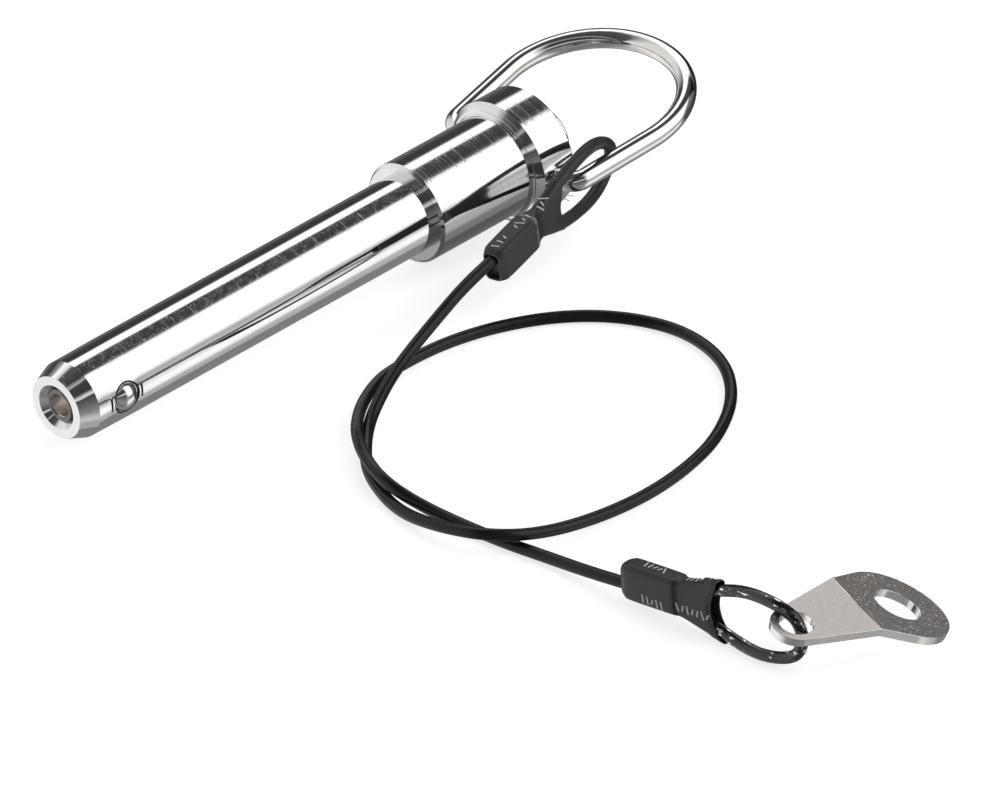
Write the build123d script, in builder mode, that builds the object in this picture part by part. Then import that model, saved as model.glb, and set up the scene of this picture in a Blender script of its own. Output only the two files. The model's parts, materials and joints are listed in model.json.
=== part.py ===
# Ball lock pin with a ring handle and a coated cable lanyard that ends in a bent tab.
# The pin lies on a surface on the edge of its head and the edge of its nose, with the
# lanyard beside it. The origin is the centre of the shoulder face, on the pin's axis.
import os
from math import acos, atan2, cos, hypot, pi, radians, sin, tan

from build123d import *

os.makedirs("parts", exist_ok=True)

# ---- driving dimensions, mm
shank_r = 12.7 / 2  # half-inch pin
shank_length = 74.3  # shoulder to nose face
grip_length = 62.5  # the shank is full size this far, up to the balls
nose_lead_r = 6.27  # where its slight lead meets the nose chamfer
nose_r = 5.1
nose_taper = 3.1
nose_mouth_r = 3.65  # countersink round the spindle's end
countersink_depth = 1.1
spindle_bore_r = 2.7
guide_bore_r = 2.25
guide_start = -56.0
spring_pocket_r = 4.1
spring_pocket_x = -1.0
spigot_r = 5.6  # the shank's end, pressed into the handle
spigot_length = 14.0
spigot_gap = 0.2  # behind the spigot, inside the handle

collar_r = 8.2
collar_chamfer = 0.45
head_x = 19.4
head_r = 10.0
head_end = 27.0
head_chamfer = 1.0
head_fillet = 0.5  # in the corner between the collar and the head
rim_break = 0.4
bore_break = 0.3
button_bore_r = 5.9
clip_groove_x = 25.3
clip_thickness = 0.8
clip_groove_r = 6.5
clip_play = 0.025
clip_opening = 3.0

ball_r = 4.76 / 2
ball_x = -65.5
ball_roll = 2.5  # degrees that the balls' axis is clocked round the pin
ball_hole_r = 2.43
ball_hole_start = 1.5  # from the pin's axis
staked_lip = (5.6, 5.95)  # where the lip starts and ends, from the pin's axis
staked_lip_r = 2.25
staked_mouth_r = 2.95
staking_offset = 3.1  # of each staking slot from the hole's centre
staking_length = 2.3
staking_width = 0.4
staking_depth = 0.45
spindle_land_r = 2.62
spindle_shaft_r = 2.17
spindle_tail_r = 1.8  # inside the button
spindle_tail = (28.4, 28.8)  # where its end cone starts and ends
spindle_cup_r = 1.75  # of the hole in the spindle's tip
spindle_cup = (-69.9, -68.9)  # where the hole's end cone starts and ends
spindle_edge = 0.2
land_rise = 1.2  # along which the groove comes back up to the land
ramp_angle = 17.0  # degrees
stroke = 3.3  # of the button
ball_gap = 0.03

button_r = 5.0
button_flange_r = 5.8
button_flange_x = 22.8
button_length = 31.2
button_edge = 0.5

hinge_x = 23.2
hinge_hole_r = 1.7
hinge_hole_start = 5.0  # from the pin's axis
hinge_mouth_r = 2.45
hinge_mouth_start = 9.6
ring_wire_r = 1.6
ring_leg = 13.2  # half the ring's width at the hinge
ring_bow_r = 15.2
ring_bow_x = 17.0  # hinge to the centre of the bow
ring_bend_r = 2.4
ring_pitch = 10.5  # degrees above level

cable_r = 1.9 / 2
loop_cover_r = 2.0 / 2
sleeve_wall = 0.25
sleeve_corner = 1.28
tab_thickness = 1.3

# ---- how the pin lies
tilt = atan2(head_r - nose_lead_r, shank_length - nose_taper + head_x + head_chamfer)
surface_z = (head_x + head_chamfer) * sin(tilt) - head_r * cos(tilt)
along = Vector(cos(tilt), 0, sin(tilt))  # from the nose to the head
above = Vector(-sin(tilt), 0, cos(tilt))
pin_side = Plane(origin=(0, 0, 0), x_dir=along, z_dir=(0, -1, 0))  # x along the pin, y up
pin_axis = Axis((0, 0, 0), along)


def on_axis(x):
    return along * x


def write(piece, name):
    piece.part.label = name
    export_step(piece.part, f"parts/{name}.step")


beyond = 0.6  # that a cut starts outside the surface it enters

# ---- shank: one turned piece, bored for the spindle, with a hole for each ball
with BuildPart() as shank:
    with BuildSketch(pin_side):
        with BuildLine():
            Polyline(
                (-shank_length, nose_mouth_r),
                (-shank_length, nose_r),
                (nose_taper - shank_length, nose_lead_r),
                (-grip_length, shank_r),
                (0, shank_r),
                (0, spigot_r),
                (spigot_length, spigot_r),
                (spigot_length, spring_pocket_r),
                (spring_pocket_x, spring_pocket_r),
                (spring_pocket_x, guide_bore_r),
                (guide_start, guide_bore_r),
                (guide_start, spindle_bore_r),
                (countersink_depth - shank_length, spindle_bore_r),
                close=True,
            )
        make_face()
    revolve(axis=pin_axis)
    for side in (-1, 1):
        outward = (Vector(0, cos(radians(ball_roll)), 0) - above * sin(radians(ball_roll))) * side
        hole_plane = Plane(on_axis(ball_x), x_dir=outward, z_dir=outward.cross(along))
        # the hole narrows to a lip that keeps the ball in, then opens to its staked mouth
        with BuildSketch(hole_plane):
            with BuildLine():
                Polyline(
                    (ball_hole_start, 0),
                    (shank_r + beyond, 0),
                    (shank_r + beyond, staked_mouth_r),
                    (staked_lip[1], staked_lip_r),
                    (staked_lip[0], ball_hole_r),
                    (ball_hole_start, ball_hole_r),
                    close=True,
                )
            make_face()
        revolve(axis=Axis(on_axis(ball_x), outward), mode=Mode.SUBTRACT)
        # a short staking slot before and behind the hole
        slot_top = on_axis(ball_x) + outward * (shank_r + beyond)
        with BuildSketch(Plane(slot_top, x_dir=along, z_dir=outward)):
            with Locations((-staking_offset, 0), (staking_offset, 0)):
                SlotOverall(staking_length, staking_width, rotation=90)
        extrude(amount=-beyond - staking_depth, mode=Mode.SUBTRACT)
write(shank, "shank")

# ---- handle: collar and head turned in one, pressed on the shank's spigot
with BuildPart() as handle:
    with BuildSketch(pin_side):
        with BuildLine():
            Polyline(
                (0, spigot_r),
                (0, collar_r - collar_chamfer),
                (collar_chamfer, collar_r),
                (head_x - head_fillet, collar_r),
                (head_x, collar_r + head_fillet),
                (head_x, head_r - head_chamfer),
                (head_x + head_chamfer, head_r),
                (head_end - rim_break, head_r),
                (head_end, head_r - rim_break),
                (head_end, button_bore_r + bore_break),
                (head_end - bore_break, button_bore_r),
                (clip_groove_x + clip_thickness, button_bore_r),
                (clip_groove_x + clip_thickness, clip_groove_r),
                (clip_groove_x, clip_groove_r),
                (clip_groove_x, button_bore_r),
                (spigot_length + spigot_gap, button_bore_r),
                (spigot_length + spigot_gap, spigot_r),
                close=True,
            )
        make_face()
    revolve(axis=pin_axis)
    for side in (-1, 1):
        outward = Vector(0, side, 0)
        hole_plane = Plane(on_axis(hinge_x), x_dir=outward, z_dir=outward.cross(along))
        with BuildSketch(hole_plane):
            with BuildLine():
                Polyline(
                    (hinge_hole_start, 0),
                    (head_r + beyond, 0),
                    (head_r + beyond, hinge_mouth_r),
                    (hinge_mouth_start, hinge_hole_r),
                    (hinge_hole_start, hinge_hole_r),
                    close=True,
                )
            make_face()
        revolve(axis=Axis(on_axis(hinge_x), outward), mode=Mode.SUBTRACT)
write(handle, "handle")

# ---- balls, and the spindle whose ramp lets them in as the button is pressed
ramp = radians(ramp_angle)
ball_out = spindle_land_r + (ball_r + ball_gap) * cos(ramp)
ball_travel = stroke * tan(ramp)
groove_r = ball_out - ball_travel - ball_r - 2 * ball_gap
ramp_top = ball_x - (ball_r + ball_gap) * sin(ramp)
ramp_end = ramp_top + (spindle_land_r - groove_r) / tan(ramp)
groove_end = ball_x + ball_r + stroke + 10 * ball_gap
for number, side in ((1, -1), (2, 1)):
    outward = (Vector(0, cos(radians(ball_roll)), 0) - above * sin(radians(ball_roll))) * side
    with BuildPart() as ball:
        with Locations(on_axis(ball_x) + outward * ball_out):
            Sphere(ball_r)
    write(ball, f"locking_ball_{number}")

spindle_tip = 0.65 - shank_length
land_end = guide_start - 0.6
with BuildPart() as spindle:
    with BuildSketch(pin_side):
        with BuildLine():
            Polyline(
                (spindle_tip, spindle_cup_r + spindle_edge),
                (spindle_tip, spindle_land_r - spindle_edge),
                (spindle_tip + spindle_edge, spindle_land_r),
                (ramp_top, spindle_land_r),
                (ramp_end, groove_r),
                (groove_end, groove_r),
                (groove_end + land_rise, spindle_land_r),
                (land_end, spindle_land_r),
                (land_end, spindle_shaft_r),
                (button_flange_x, spindle_shaft_r),
                (button_flange_x, spindle_tail_r),
                (spindle_tail[0], spindle_tail_r),
                (spindle_tail[1], 0),
                (spindle_cup[1], 0),
                (spindle_cup[0], spindle_cup_r),
                (spindle_tip + spindle_edge, spindle_cup_r),
                close=True,
            )
        make_face()
    revolve(axis=pin_axis)
write(spindle, "spindle")

# ---- button, its spring and the clip that keeps it in the head
flange_end = clip_groove_x - 0.1
with BuildPart() as push_button:
    with BuildSketch(pin_side):
        with BuildLine():
            Polyline(
                (button_flange_x, spindle_tail_r),
                (button_flange_x, button_flange_r),
                (flange_end, button_flange_r),
                (flange_end, button_r),
                (button_length - button_edge, button_r),
                (button_length, button_r - button_edge),
                (button_length, 0),
                (spindle_tail[1], 0),
                (spindle_tail[0], spindle_tail_r),
                close=True,
            )
        make_face()
    revolve(axis=pin_axis)
write(push_button, "push_button")

with BuildPart() as button_clip:
    with BuildSketch(Plane(on_axis(clip_groove_x + clip_play), x_dir=(0, 1, 0), z_dir=along)):
        Circle(clip_groove_r - 2 * clip_play)
        Circle(button_r + 5 * clip_play, mode=Mode.SUBTRACT)
        with Locations((0, clip_groove_r)):
            Rectangle(clip_opening, button_r, mode=Mode.SUBTRACT)
    extrude(amount=clip_thickness - 2 * clip_play)
write(button_clip, "button_clip")

spring_wire_r = 0.4
spring_mean_r = 3.4
spring_play = 0.02
spring_start = spring_pocket_x + spring_wire_r + spring_play
spring_end = button_flange_x - spring_wire_r - spring_play
spring_turns = 8.5
with BuildPart() as button_spring:
    coil = Helix(
        pitch=(spring_end - spring_start) / spring_turns,
        height=spring_end - spring_start,
        radius=spring_mean_r,
        center=on_axis(spring_start),
        direction=along,
        mode=Mode.PRIVATE,
    )
    with BuildSketch(Plane(coil @ 0, z_dir=coil % 0)):
        Circle(spring_wire_r)
    sweep(path=coil)
write(button_spring, "button_spring")

# ---- ring handle: round wire, its two ends turned in to the head's cross hole
hinge = on_axis(hinge_x)
pitch = radians(ring_pitch)
ring_plane = Plane(hinge, x_dir=(cos(pitch), 0, sin(pitch)), z_dir=(-sin(pitch), 0, cos(pitch)))
flare = atan2(ring_bow_x, ring_leg) - acos(ring_bow_r / hypot(ring_bow_x, ring_leg))
touch_x = ring_bow_x - ring_bow_r * sin(flare)  # where the flared legs meet the bow
touch_y = ring_bow_r * cos(flare)
wire_end = button_bore_r + 0.5
with BuildPart() as ring_handle:
    with BuildLine(ring_plane) as wire_path:
        FilletPolyline((0, -wire_end), (0, -ring_leg), (touch_x, -touch_y), radius=ring_bend_r)
        ThreePointArc((touch_x, -touch_y), (ring_bow_x + ring_bow_r, 0), (touch_x, touch_y))
        FilletPolyline((touch_x, touch_y), (0, ring_leg), (0, wire_end), radius=ring_bend_r)
    with BuildSketch(Plane(hinge - Vector(0, wire_end, 0), z_dir=(0, -1, 0))):
        Circle(ring_wire_r)
    sweep(path=wire_path.wire())
write(ring_handle, "ring_handle")


# ---- lanyard: crimped ferrules inside shrink sleeves, one at each end of the cable
def crossing(base, distance):
    """The plane across a sleeve, at a distance along its length, with x across its width."""
    return Plane(base.from_local_coords((distance, 0, 0)), x_dir=base.y_dir, z_dir=base.x_dir)


# x runs from the cable toward the loop, y across the loop, z out of the loop's plane
ring_end = Plane((-1.83, -20.4, -0.37), x_dir=(0.969, 0.2, 0.144), z_dir=(0.2, -0.98, 0.04))
tab_end = Plane((-46.63, -92.56, -5.32), x_dir=(0.073, -0.994, 0.085), z_dir=(-0.997, -0.073, 0))

ferrule_width = 4.8
ferrule_depth = 2.7
ferrule_corner = 1.2
ferrule_edge = 0.2
ferrule_start = 1.0
ferrule_end = 10.3
for name, base in (("ferrule_ring_end", ring_end), ("ferrule_tab_end", tab_end)):
    with BuildPart() as ferrule:
        with BuildSketch(crossing(base, ferrule_start)):
            RectangleRounded(ferrule_width, ferrule_depth, ferrule_corner)
        extrude(amount=ferrule_end - ferrule_start)
        chamfer(ferrule.faces().sort_by(Axis(base.origin, base.x_dir))[0].edges(), ferrule_edge)
    write(ferrule, name)

# sections of each sleeve's outside: (distance from the cable's end, lower edge, upper edge, depth)
ring_end_sections = [
    (0, -2.5, 2.5, 2.9),
    (1.3, -2.9, 2.9, 3.9),
    (10.4, -2.9, 2.9, 3.9),
    (11.3, -2.75, 2.75, 3.0),
    (13.6, -3.6, 3.25, 2.7),
    (16.3, -4.9, 3.8, 2.7),
    (19.4, -6.0, 4.45, 2.8),
]
tab_end_sections = [
    (0, -2.65, 2.65, 2.9),
    (1.3, -3.0, 3.0, 3.9),
    (10.4, -3.0, 3.0, 3.9),
    (11.5, -3.15, 2.85, 3.0),
    (19.8, -5.5, 4.85, 2.7),
]
# the mouth of each is cut back in an arc between the strands: (distance, height, radius)
sleeves = {
    "shrink_sleeve_ring_end": (ring_end, ring_end_sections, (21.8, -1.6, 3.3)),
    "shrink_sleeve_tab_end": (tab_end, tab_end_sections, (23.0, -0.4, 6.0)),
}
for name, (base, sections, (mouth_distance, mouth_height, mouth_r)) in sleeves.items():
    with BuildPart() as sleeve:
        for wall, mode in ((0, Mode.ADD), (sleeve_wall, Mode.SUBTRACT)):
            for distance, lower, upper, depth in sections:
                overrun = {sections[0][0]: -0.1, sections[-1][0]: 0.1}.get(distance, 0) if wall else 0
                with BuildSketch(crossing(base, distance + overrun)):
                    with Locations(((lower + upper) / 2, 0)):
                        RectangleRounded(upper - lower - 2 * wall, depth - 2 * wall, sleeve_corner - wall)
            loft(ruled=True, mode=mode)
        with BuildSketch(Plane(base.from_local_coords((0, 0, -5)), x_dir=base.x_dir, z_dir=base.z_dir)):
            with Locations((mouth_distance, mouth_height)):
                Circle(mouth_r)
        extrude(amount=10, mode=Mode.SUBTRACT)
    write(sleeve, name)


# ---- the cable: straight runs joined by tangent arcs
def rounded(route):
    """The radius at each inner corner of a route: its arc takes 0.45 of the shorter run beside it."""
    radii = []
    for before, corner, after in zip(route, route[1:], route[2:]):
        first, second = Vector(*corner) - Vector(*before), Vector(*after) - Vector(*corner)
        half_turn = radians(first.get_angle(second)) / 2
        radii.append(0.45 * min(first.length, second.length) / tan(half_turn))
    return radii


def lay_cord(route, radius, name):
    radii = rounded(route)
    with BuildPart() as cord:
        with BuildLine() as centre:
            FilletPolyline(*route, radius=radii)
        wire = centre.wire()
        with BuildSketch(Plane(wire @ 0, z_dir=wire % 0)):
            Circle(radius)
        sweep(path=wire)
    write(cord, name)
    length, section = wire.length, pi * radius**2
    print(f"{name}: {length:.1f} mm, radii {[round(r, 1) for r in radii]}")
    print(f"{name}: volume {cord.part.volume:.2f}, section x length {section * length:.2f}")


straight = 1.2  # every cord leaves its ferrule squarely for this far
strand_height = 1.2  # of each strand in a ferrule, above or below its middle


def leaving(base, side, end):
    """The first two points of a cord that leaves a ferrule, from its end toward the open."""
    outward = straight if end == ferrule_end else -straight
    points = [(end, side * strand_height, 0), (end + outward, side * strand_height, 0)]
    return [tuple(base.from_local_coords(point)) for point in points]


# (x, y, height above the surface)
cable_route = [
    (-10.3, -22.3, 9.3),
    (-17.1, -22.9, 6.4),
    (-26.4, -25.3, 4.4),
    (-33.3, -28.3, 3.4),
    (-39.7, -31.4, 1.3),
    (-47.0, -38.2, 0.97),
    (-50.7, -44.0, 0.97),
    (-53.7, -52.1, 0.97),
    (-54.4, -61.7, 2.6),
    (-52.1, -70.7, 3.9),
    (-44.1, -73.5, 2.3),
    (-33.6, -74.4, 0.97),
    (-23.6, -75.0, 0.97),
    (-13.7, -73.6, 0.97),
    (-4.3, -70.6, 0.97),
    (5.7, -64.2, 0.97),
    (12.7, -55.3, 0.97),
    (14.7, -44.8, 0.97),
    (11.3, -35.6, 0.97),
    (5.1, -28.9, 0.97),
    (-3.4, -24.3, 0.97),
    (-12.6, -21.9, 0.97),
    (-21.7, -21.6, 0.97),
    (-29.0, -22.5, 0.97),
    (-39.2, -28.7, 2.3),
    (-47.5, -37.0, 4.0),
    (-52.0, -46.2, 3.6),
    (-50.6, -54.3, 1.3),
    (-49.2, -68.0, 0.97),
    (-47.6, -76.6, 0.97),
    (-47.3, -84.9, 1.8),
]
on_surface = [(x, y, surface_z + height) for x, y, height in cable_route]
start, finish = leaving(ring_end, 1, ferrule_start), leaving(tab_end, -1, ferrule_start)
lay_cord(start + on_surface + finish[::-1], cable_r, "lanyard_cable")

# the loop through the ring: over the ring's near leg, behind it and back
ring_loop_route = [
    (18.25, -16.11, 6.2),
    (27.0, -13.5, 6.9),
    (33.9, -10.7, 3.0),
    (34.8, -9.7, -1.2),
    (29.3, -11.9, -4.1),
    (17.57, -16.59, -2.24),
]
start, finish = leaving(ring_end, 1, ferrule_end), leaving(ring_end, -1, ferrule_end)
lay_cord(start + ring_loop_route + finish[::-1], loop_cover_r, "ring_loop")

# the loop through the tab, standing on edge: (x, y, height above the surface)
tab_loop_route = [
    (-45.35, -110.05, 8.3),
    (-44.9, -115.4, 10.2),
    (-44.9, -121.4, 10.6),
    (-44.3, -125.1, 9.4),
    (-44.2, -126.5, 6.5),
    (-44.3, -125.6, 3.3),
    (-44.6, -122.8, 1.6),
    (-45.4, -119.0, 0.97),
    (-45.4, -114.9, 1.0),
    (-45.4, -109.34, 1.92),
]
on_surface = [(x, y, surface_z + height) for x, y, height in tab_loop_route]
start, finish = leaving(tab_end, 1, ferrule_end), leaving(tab_end, -1, ferrule_end)
lay_cord(start + on_surface + finish[::-1], cable_r, "tab_loop")

# ---- tab: one piece of strip, bent once, with an eye for the loop and a fixing hole
tab_half_width = 6.6  # along the bend
eye_reach = 11.1
eye_r = 3.95
eye_hole_r = 2.65
lobe_reach = 8.3
lobe_r = 8.5
lobe_hole_r = 3.85
tab_bend = 20.4  # degrees

ridge = Vector(-33.36, -127.1, surface_z + 8.14)
toward_eye = Vector(-0.9822, 0.183, 0.0400).normalized()
neck_plane = Plane(ridge, x_dir=toward_eye, z_dir=(0.005, -0.188, 0.982))
bend = radians(tab_bend)
toward_lobe = -neck_plane.x_dir * cos(bend) - neck_plane.z_dir * sin(bend)
lobe_normal = neck_plane.z_dir * cos(bend) - neck_plane.x_dir * sin(bend)
lobe_plane = Plane(ridge, x_dir=toward_lobe, z_dir=lobe_normal)
with BuildPart() as tab:
    for plane, reach, outer_r, hole_r in (
        (neck_plane, eye_reach, eye_r, eye_hole_r),
        (lobe_plane, lobe_reach, lobe_r, lobe_hole_r),
    ):
        with BuildSketch(plane):
            with Locations((reach, 0)):
                Circle(outer_r)
            with Locations((0.05, 0)):
                Rectangle(0.1, 2 * tab_half_width)
            make_hull()
            with Locations((reach, 0)):
                Circle(hole_r, mode=Mode.SUBTRACT)
        extrude(amount=-tab_thickness)
write(tab, "tab")
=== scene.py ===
import json
from math import atan2, cos, hypot, pi, radians, sin, sqrt

import bmesh
import bpy
from mathutils import Matrix, Vector


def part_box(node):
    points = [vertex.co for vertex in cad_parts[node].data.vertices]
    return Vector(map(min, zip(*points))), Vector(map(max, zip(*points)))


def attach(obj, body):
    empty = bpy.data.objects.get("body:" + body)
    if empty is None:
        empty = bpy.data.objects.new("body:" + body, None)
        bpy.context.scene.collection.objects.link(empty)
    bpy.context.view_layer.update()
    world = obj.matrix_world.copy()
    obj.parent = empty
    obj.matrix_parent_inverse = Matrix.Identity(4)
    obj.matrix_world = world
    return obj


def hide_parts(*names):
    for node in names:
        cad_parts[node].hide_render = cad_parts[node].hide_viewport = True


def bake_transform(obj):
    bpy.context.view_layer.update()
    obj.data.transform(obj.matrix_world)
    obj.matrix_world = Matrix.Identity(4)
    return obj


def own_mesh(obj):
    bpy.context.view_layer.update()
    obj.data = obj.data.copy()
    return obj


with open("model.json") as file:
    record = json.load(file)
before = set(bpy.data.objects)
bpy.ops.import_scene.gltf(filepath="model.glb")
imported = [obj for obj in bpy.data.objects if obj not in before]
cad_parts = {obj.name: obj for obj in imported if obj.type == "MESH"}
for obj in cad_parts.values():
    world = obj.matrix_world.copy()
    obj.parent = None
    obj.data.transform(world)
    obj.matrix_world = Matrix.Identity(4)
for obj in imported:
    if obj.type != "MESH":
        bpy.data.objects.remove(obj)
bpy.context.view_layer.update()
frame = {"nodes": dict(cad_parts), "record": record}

scene = bpy.context.scene
mm = 0.001

# how the pin lies: on the edge of its head and the edge of its nose
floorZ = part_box("handle")[0][2]
tilt = radians(2.333)
along = Vector((cos(tilt), 0, sin(tilt)))
above = Vector((-sin(tilt), 0, cos(tilt)))


def addObject(name, data):
    piece = bpy.data.objects.new(name, data)
    scene.collection.objects.link(piece)
    return piece


def settle(piece, name=None):
    # the finished shape as a plain mesh, with no curve or modifier left
    name = name or piece.name
    graph = bpy.context.evaluated_depsgraph_get()
    mesh = bpy.data.meshes.new_from_object(piece.evaluated_get(graph))
    bpy.data.objects.remove(piece)
    return addObject(name, mesh)


def metres(values):
    return [value * mm for value in values]


# where the camera stands
view = {
    "aim": (-0.0001, -0.0204, -0.0244), "back": (-0.6138, -0.6045, 0.5078), "distance": 2.96,
    "lens": 700, "sensor": 36, "farthest": 20,
}


def placeCamera():
    data = bpy.data.cameras.new("camera")
    data.lens, data.sensor_width, data.clip_end = view["lens"], view["sensor"], view["farthest"]
    camera = addObject("camera", data)
    back = Vector(view["back"]).normalized()
    camera.location = Vector(view["aim"]) + back * view["distance"]
    camera.rotation_euler = back.to_track_quat("Z", "Y").to_euler()
    scene.camera = camera


placeCamera()
print("camera placed")


# where the two sleeves sit: x from the cable to the loop, y across the loop
def seat(origin, xDir, zDir):
    z = Vector(zDir).normalized()
    y = z.cross(Vector(xDir)).normalized()
    x = y.cross(z)
    place = Matrix((x, y, z)).transposed().to_4x4()
    place.translation = Vector(origin) * mm
    return place


ringSeat = seat((-1.83, -20.4, -0.37), (0.969, 0.2, 0.144), (0.2, -0.98, 0.04))
tabSeat = seat((-46.63, -92.56, -5.32), (0.073, -0.994, 0.085), (-0.997, -0.073, 0))
# its two ends along the sleeve, each strand out from the middle, and how far a strand leaves it straight
ferrule = {"start": 1.0, "end": 10.3, "strand": 1.2, "straight": 1.2}


def leaving(place, side, end):
    outward = ferrule["straight"] if end == "end" else -ferrule["straight"]
    across = side * ferrule["strand"]
    points = [(ferrule[end], across, 0), (ferrule[end] + outward, across, 0)]
    return [tuple(place @ (Vector(p) * mm)) for p in points]


def onFloor(route):
    return [(x * mm, y * mm, floorZ + height * mm) for x, y, height in route]


# three cords, each laid along its route
cable = {
    "diameter": 1.9,
    "length": 303.7,
    # x, y, height above the floor
    "route": [
        (-10.3, -22.3, 9.3), (-17.1, -22.9, 6.4), (-26.4, -25.3, 4.4), (-33.3, -28.3, 3.4),
        (-39.7, -31.4, 1.3), (-47.0, -38.2, 0.97), (-50.7, -44.0, 0.97), (-53.7, -52.1, 0.97),
        (-54.4, -61.7, 2.6), (-52.1, -70.7, 3.9), (-44.1, -73.5, 2.3), (-33.6, -74.4, 0.97),
        (-23.6, -75.0, 0.97), (-13.7, -73.6, 0.97), (-4.3, -70.6, 0.97), (5.7, -64.2, 0.97),
        (12.7, -55.3, 0.97), (14.7, -44.8, 0.97), (11.3, -35.6, 0.97), (5.1, -28.9, 0.97),
        (-3.4, -24.3, 0.97), (-12.6, -21.9, 0.97), (-21.7, -21.6, 0.97), (-29.0, -22.5, 0.97),
        (-39.2, -28.7, 2.3), (-47.5, -37.0, 4.0), (-52.0, -46.2, 3.6), (-50.6, -54.3, 1.3),
        (-49.2, -68.0, 0.97), (-47.6, -76.6, 0.97), (-47.3, -84.9, 1.8),
    ],
}
ringLoop = {
    "diameter": 2.0,
    "length": 60.9,
    # x, y, z from the origin
    "route": [
        (18.25, -16.11, 6.2), (27.0, -13.5, 6.9), (33.9, -10.7, 3.0), (34.8, -9.7, -1.2),
        (29.3, -11.9, -4.1), (17.57, -16.59, -2.24),
    ],
}
tabLoop = {
    "diameter": 1.9,
    "length": 53.1,
    # x, y, height above the floor
    "route": [
        (-45.35, -110.05, 8.3), (-44.9, -115.4, 10.2), (-44.9, -121.4, 10.6), (-44.3, -125.1, 9.4),
        (-44.2, -126.5, 6.5), (-44.3, -125.6, 3.3), (-44.6, -122.8, 1.6), (-45.4, -119.0, 0.97),
        (-45.4, -114.9, 1.0), (-45.4, -109.34, 1.92),
    ],
}
cordSteps = {"alongEachSpan": 10, "roundTheCord": 6}


def layCord(name, points, diameter):
    data = bpy.data.curves.new(name, "CURVE")
    data.dimensions = "3D"
    spline = data.splines.new("NURBS")
    spline.points.add(len(points) - 1)
    for point, place in zip(spline.points, points):
        point.co = (*place, 1)
    spline.order_u = 3
    spline.use_endpoint_u = True
    spline.resolution_u = cordSteps["alongEachSpan"]
    data.bevel_depth = diameter * mm / 2
    data.bevel_resolution = cordSteps["roundTheCord"]
    data.use_fill_caps = True
    return addObject(name, data)


def middleLine(cord):
    bare = cord.data.copy()
    bare.bevel_depth = 0
    line = settle(addObject("line", bare))
    points = [v.co.copy() for v in line.data.vertices]
    bpy.data.objects.remove(line)
    return points


cablePoints = leaving(ringSeat, 1, "start") + onFloor(cable["route"]) + leaving(tabSeat, -1, "start")[::-1]
cablePiece = layCord("coatedCable", cablePoints, cable["diameter"])

loopPoints = leaving(ringSeat, 1, "end")
loopPoints += [tuple(metres(p)) for p in ringLoop["route"]]
loopPoints += leaving(ringSeat, -1, "end")[::-1]
ringLoopLine = layCord("ringLoopLine", loopPoints, ringLoop["diameter"])
ringLoopPath = middleLine(ringLoopLine)
ringLoopPiece = settle(ringLoopLine, "coveredLoop")

tabPoints = leaving(tabSeat, 1, "end") + onFloor(tabLoop["route"]) + leaving(tabSeat, -1, "end")[::-1]
tabLoopPiece = layCord("tabLoop", tabPoints, tabLoop["diameter"])
tabLoopPath = middleLine(tabLoopPiece)
print("cords laid")


# crisp copies of the turned and bent steel
crispPieces = {
    "shank": {"name": "turnedShank", "sharp": 15, "turned": True, "edge": 0.04, "slot": "polished_steel"},
    "handle": {"name": "turnedHead", "sharp": 15, "turned": True, "edge": 0.05, "slot": "polished_steel"},
    "spindle": {"name": "turnedSpindle", "sharp": 15, "turned": True, "slot": "dark_steel"},
    "push_button": {
        "name": "turnedButton", "sharp": 15, "turned": True, "edge": 0.05, "slot": "polished_steel",
    },
    "ring_handle": {"name": "bentRing", "sharp": 50, "slot": "polished_steel"},
    "locking_ball_1": {"name": "nearBall", "sharp": 80, "slot": "ball_steel"},
    "locking_ball_2": {"name": "farBall", "sharp": 80, "slot": "ball_steel"},
    "tab": {"name": "bentTab", "sharp": 15, "edge": 0.15, "slot": "tab_steel"},
    "button_spring": {"name": "returnSpring", "sharp": 50, "slot": "dark_steel"},
}
# points this near, in metres, are one, and so are faces this near to level, in degrees
copying = {"nearPoints": 2e-6, "levelFaces": 0.4, "edgeSegments": 2, "faceWeight": 80}
unrolling = {"radius": 0.01, "outShare": 0.7, "onAxis": 1e-6}
bodies = frame["record"]["behaviour"]["bodies"]
bodyOf = {node: body for body, nodes in bodies.items() for node in nodes}


def turnedMap(shape):
    # across: arc length round the pin; up: distance along the pin and out from its axis
    layer = shape.loops.layers.uv.new("turned")
    for face in shape.faces:
        middle = face.calc_center_median()
        middleAngle = atan2(middle.y, middle.dot(above))
        for loop in face.loops:
            point = loop.vert.co
            out = hypot(point.y, point.dot(above))
            angle = atan2(point.y, point.dot(above)) if out > unrolling["onAxis"] else middleAngle
            angle += 2 * pi * round((middleAngle - angle) / (2 * pi))
            loop[layer].uv = (angle * unrolling["radius"], point.dot(along) + unrolling["outShare"] * out)


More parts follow.
